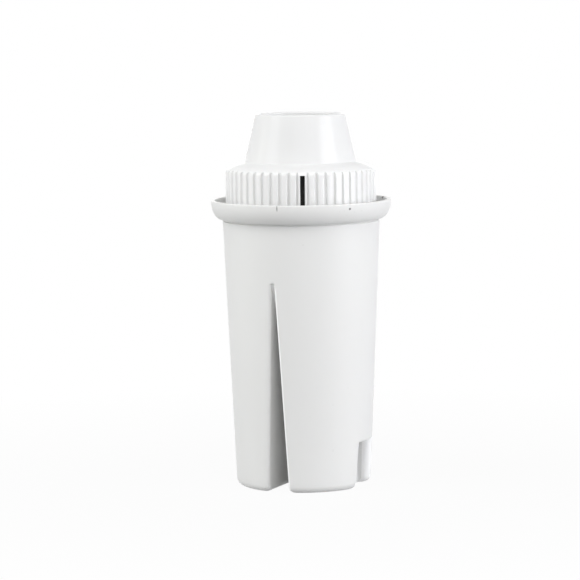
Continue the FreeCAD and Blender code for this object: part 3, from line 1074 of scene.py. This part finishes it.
def weave_places():
    """Threads both ways over the floor of the cavity, clipped to its outline."""
    reach = cavity_radius(FLOOR_TOP) - 0.2
    rows = int(reach / OUTLET_PITCH)
    found = []
    for way, z in enumerate(OUTLET_LAYERS):
        for row in range(-rows, rows + 1):
            offset = row * OUTLET_PITCH

            def at(along):
                return (offset, along) if way == 0 else (along, offset)

            def is_open(along):
                return is_clear(*at(along), FLOOR_TOP, reach, FOOT_WALL + 0.15)

            for middle, length in open_runs(is_open, reach, 380, SHORTEST_THREAD):
                found.append((*at(middle), z, length, -way * math.pi / 2))
    return found


thread_group, tree, given = new_group("Laid threads", {
    "Thread": "Object", "Material": "Material"})
copies = laid_copies(tree, given["Geometry"], shape_of(tree, given["Thread"]))
close_group(tree, copies, given["Material"])
wire = mesh_object("wire", [(x, y, z) for y in (-0.5, 0.5) for x, z in (
    (-0.13, -0.1), (0.13, -0.1), (0.0, 0.12))],
    BAR_FACES)
thread_points = places_object("thread_places", weave_places())
outlet = run_group("outlet_weave", thread_points, thread_group, {
    "Thread": wire, "Material": pale_thread})
discard(wire, thread_points)

# %% [markdown]
# ## Granules
#
# The cartridge is full of black carbon granules and amber beads. Only its lowest layer, behind
# the strainer, and its top, behind the windows, can ever be seen, so a plain core takes the
# place of the middle and Geometry Nodes scatter granules over its skin with a fixed seed.

# %% Granule finishes
def grain(name, dark, light, gloss):
    material, tree, place = new_material(name)
    drift = noise(tree, place, 1500.0, 3.0)
    bump = tree.add("ShaderNodeBump", {}, {"Strength": 0.5, "Distance": 0.0002, "Height": drift})
    shader = tree.add("ShaderNodeBsdfPrincipled", {}, {
        "Base Color": mixed(tree, drift, dark, light), "Roughness": gloss + drift * 0.2,
        "Normal": bump})
    finish_with(tree, shader)
    return material


carbon = grain("carbon_granule", colour(18, 18, 19), colour(46, 46, 48), 0.45)
amber = grain("amber_bead", colour(120, 78, 30), colour(176, 128, 62), 0.3)

# %% Core of the bed
core_rings = []
for z in steps(3.4, 75.0, 24):
    slot = key_slot(z, grow=FOOT_WALL + 0.7, lips=INNER_LIPS, depth=0.0 if z > 60 else None)
    notch = side_notch(z, grow=FOOT_WALL + 0.7, lips=INNER_LIPS)
    core_rings.append(ring_at(z, cavity_radius(z) - 0.7, slot, notch))
heap = [(cavity_radius(78) - 0.8, 78.0), (19.3, 79.2), (19.3, 89.6), (18.6, 90.2), (9.0, 90.35)]
core_rings += [plain_ring(r, z) for r, z in heap]
core = loft("granule_core", core_rings, capped=True)
core.data.materials.append(carbon)
print("core triangles", triangles(core))

# %% Scatter by Geometry Nodes
SEEN_BELOW = 3.6
SEEN_ABOVE = 78.8
GRAIN_RADIUS = 0.55

scatter_group, tree, given = new_group("Granule scatter", {
    "Density": "Float", "Size": "Float", "Amber Share": "Float",
    "Seed": "Int", "Carbon": "Material", "Amber": "Material"})
position = tree.add("GeometryNodeInputPosition")
height = tree.add("ShaderNodeSeparateXYZ", {}, {"Vector": position}, "Z")
seen = height.below(SEEN_BELOW * MM).larger(height.above(SEEN_ABOVE * MM))
points_on = tree.add("GeometryNodeDistributePointsOnFaces", {"distribute_method": "RANDOM"}, {
    "Mesh": given["Geometry"], "Selection": seen, "Density": given["Density"],
    "Seed": given["Seed"]})
grain_shape = tree.add("GeometryNodeMeshIcoSphere", {}, {
    "Radius": given["Size"], "Subdivisions": 1})
spin = tree.add("FunctionNodeRandomValue", {"data_type": "FLOAT_VECTOR"}, {
    0: (0.0, 0.0, 0.0), 1: (6.28, 6.28, 6.28), "Seed": given["Seed"]})
scale = tree.add("FunctionNodeRandomValue", {"data_type": "FLOAT_VECTOR"}, {
    0: (0.7, 0.6, 0.5), 1: (1.3, 1.2, 1.1), "Seed": given["Seed"]})
copies = tree.add("GeometryNodeInstanceOnPoints", {}, {
    "Points": points_on, "Instance": grain_shape, "Rotation": spin, "Scale": scale})
chance = tree.add("FunctionNodeRandomValue", {"data_type": "FLOAT"}, {
    2: 0.0, 3: 1.0, "Seed": given["Seed"]}, 1)
kind = tree.add("GeometryNodeStoreNamedAttribute", {"data_type": "FLOAT", "domain": "INSTANCE"}, {
    "Geometry": copies, "Name": "kind", "Value": chance})
real = tree.add("GeometryNodeRealizeInstances", {}, {"Geometry": kind})
painted = tree.add("GeometryNodeSetMaterial", {}, {"Geometry": real, "Material": given["Carbon"]})
mark = tree.add("GeometryNodeInputNamedAttribute", {"data_type": "FLOAT"}, {"Name": "kind"})
is_amber = 1 - mark.above(given["Amber Share"])
painted = tree.add("GeometryNodeSetMaterial", {}, {
    "Geometry": painted, "Selection": is_amber, "Material": given["Amber"]})
end_group(tree, painted)
grains = run_group("granules", core, scatter_group, {
    "Density": 1.1e6, "Size": GRAIN_RADIUS * MM, "Amber Share": 0.4, "Seed": 7, "Carbon": carbon,
    "Amber": amber})

# %% [markdown]
# ## Riding on the frame
#
# The cartridge has no joints, so its one body is `root`. Each finished piece rides on it, and
# the CAD node that it stands for is hidden.

# %% Ride on root and hide the CAD nodes
dressed = {
    "housing": ("housing_plastic", [housing, strainer]),
    "cap": ("cap_plastic", [cap, vent_plate]),
    "inlet_screen": ("inlet_mesh", [inlet, lid, backing]),
    "outlet_screen": ("outlet_mesh", [outlet]),
    "granulate_bed": ("granules", [core, grains]),
}
for node, (slot_name, pieces) in dressed.items():
    for piece in pieces:
        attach(piece, "root")
        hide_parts(node)
    print(node, "is shown by", [piece.name for piece in pieces])

# %% [markdown]
# ## Floor and background
#
# The cartridge stands on a plain white floor that runs into a white background. The camera and
# reflections see pure white there, while the light that falls on the cartridge keeps its own
# level. The floor mixes a little real shading into that white, so the shadow stays.

# %% Floor and world
FLOOR_HALF = 3000.0
FLOOR_DROP = 0.05
FLOOR_GREY = (0.5, 0.5, 0.5, 1.0)
FLOOR_GLOW = 0.95
FADE_START = 0.06
FADE_LENGTH = 0.16
ROOM_TINT = (0.97, 0.985, 1.0, 1.0)
ROOM_LEVEL = 0.34
WHITE = (1.0, 1.0, 1.0, 1.0)


def seen_directly(tree):
    """1 for a ray from the camera, a reflection or a clear material, 0 for the light itself."""
    path = tree.tree.nodes.new("ShaderNodeLightPath")
    camera_ray, glossy_ray, clear_ray = [
        Value(tree, path.outputs[f"Is {kind} Ray"])
        for kind in ("Camera", "Glossy", "Transmission")]
    return camera_ray.larger(glossy_ray).larger(clear_ray)


corners = [(x * FLOOR_HALF, y * FLOOR_HALF, -FLOOR_DROP)
           for x, y in ((-1, -1), (1, -1), (1, 1), (-1, 1))]
floor = mesh_object("floor", corners, [(0, 1, 2, 3)])
floor_white, tree, place = new_material("floor_white")
lit = tree.add("ShaderNodeBsdfDiffuse", {}, {"Color": FLOOR_GREY})
glow = tree.add("ShaderNodeEmission", {}, {"Color": WHITE, "Strength": 1.0})
reach = tree.add("ShaderNodeVectorMath", {"operation": "LENGTH"}, {0: place}, "Value")
far = ((reach - FADE_START) / FADE_LENGTH).clamped()
glowing = seen_directly(tree) * (FLOOR_GLOW + far * (1 - FLOOR_GLOW))
finish_with(tree, tree.add("ShaderNodeMixShader", {}, {0: glowing, 1: lit, 2: glow}))
floor.data.materials.append(floor_white)

world = bpy.data.worlds.new("white_room")
bpy.context.scene.world = world
world.use_nodes = True
world.node_tree.nodes.clear()
tree = Tree(world.node_tree)
shown = tree.add("ShaderNodeBackground", {}, {"Color": WHITE, "Strength": 1.0})
felt = tree.add("ShaderNodeBackground", {}, {"Color": ROOM_TINT, "Strength": ROOM_LEVEL})
both = tree.add("ShaderNodeMixShader", {}, {0: seen_directly(tree), 1: felt, 2: shown})
tree.add("ShaderNodeOutputWorld", {}, {"Surface": both})
print("the floor is", 2 * FLOOR_HALF * MM, "m wide")

# %% [markdown]
# ## Lamps
#
# The picture shows a bright soft studio: the light comes mostly from both sides, stronger and
# cooler from the right, and the front is a little darker. Where the lamps stood is not known.
# These large area lamps were placed by trial, and their watts solved and then changed until the
# brightness round the cup came close to the picture.

# %% Lamps
CAMERA_AZIMUTH = 22.5


def lamp(name, azimuth, distance, height, width, tall, watts, tint):
    """A large soft lamp at an azimuth from the camera, positive to its right."""
    angle = math.radians(azimuth + CAMERA_AZIMUTH)
    light = bpy.data.lights.new(name, "AREA")
    light.shape = "RECTANGLE"
    light.size = width
    light.size_y = tall
    light.energy = watts
    light.color = tint
    holder = placed(name, light)
    holder.location = (distance * math.sin(angle), -distance * math.cos(angle), height)
    aim = Vector((0, 0, 0.06)) - holder.location
    holder.rotation_euler = aim.to_track_quat("-Z", "Y").to_euler()


lamp("front_softbox", 0, 0.6, 0.85, 0.5, 0.5, 3.21, (1.0, 0.99, 0.94))
lamp("left_high_softbox", -70, 0.7, 0.8, 0.5, 0.5, 1.68, (1.0, 0.98, 1.0))
lamp("left_tall_softbox", -66, 0.8, 0.5, 0.4, 0.9, 2.8, (0.95, 0.97, 1.0))
lamp("left_low_softbox", -90, 0.9, 0.15, 0.5, 0.5, 1.26, (1.0, 1.0, 0.88))
lamp("right_softbox", 66, 0.9, 0.22, 0.6, 0.65, 6.45, (0.96, 0.965, 1.0))
lamp("right_back_softbox", 110, 0.9, 0.15, 0.5, 0.5, 0.3, (1.0, 1.0, 1.0))
lamp("back_softbox", 180, 1.0, 0.05, 0.5, 0.5, 1.2, (1.0, 0.99, 0.95))
print("lamps", len(bpy.data.lights), "watts", round(sum(lit.energy for lit in bpy.data.lights), 2))

# %% [markdown]
# ## Camera
#
# The camera was fitted to the outline of the object in the photograph: a long lens, nearly a
# metre away, a little above the cap and turned 22.5 degrees from the key slot to the notch.

# %% Camera
CAMERA_DISTANCE = 917.7
CAMERA_HEIGHT = 155.5
FOCAL_PIXELS = 3012.36
FRAME_PIXELS = 580
PITCH_DOWN = 0.104
ROLL = -0.0113
YAW = -0.004

turn_about = Matrix.Rotation(math.radians(CAMERA_AZIMUTH), 3, "Z")
forward = Vector((math.sin(YAW) * math.cos(PITCH_DOWN), math.cos(YAW) * math.cos(PITCH_DOWN),
                  -math.sin(PITCH_DOWN)))
right = forward.cross(Vector((0, 0, 1))).normalized()
up = right.cross(forward)
right_rolled = math.cos(ROLL) * right + math.sin(ROLL) * up
up_rolled = -math.sin(ROLL) * right + math.cos(ROLL) * up
axes = [turn_about @ axis for axis in (right_rolled, up_rolled, -forward)]
eye = turn_about @ Vector((0, -CAMERA_DISTANCE * MM, CAMERA_HEIGHT * MM))

lens = bpy.data.cameras.new("camera")
lens.sensor_width = 36.0
lens.lens = 36.0 * FOCAL_PIXELS / FRAME_PIXELS
lens.clip_start = 0.05
lens.clip_end = 20.0
camera = placed("camera", lens)
camera.matrix_world = Matrix.Translation(eye) @ Matrix(axes).transposed().to_4x4()
bpy.context.scene.camera = camera
bpy.context.scene.view_settings.view_transform = "Standard"
print("lens", round(lens.lens, 1), "mm at", [round(c, 3) for c in eye])

# %% Update the scene
bpy.context.view_layer.update()
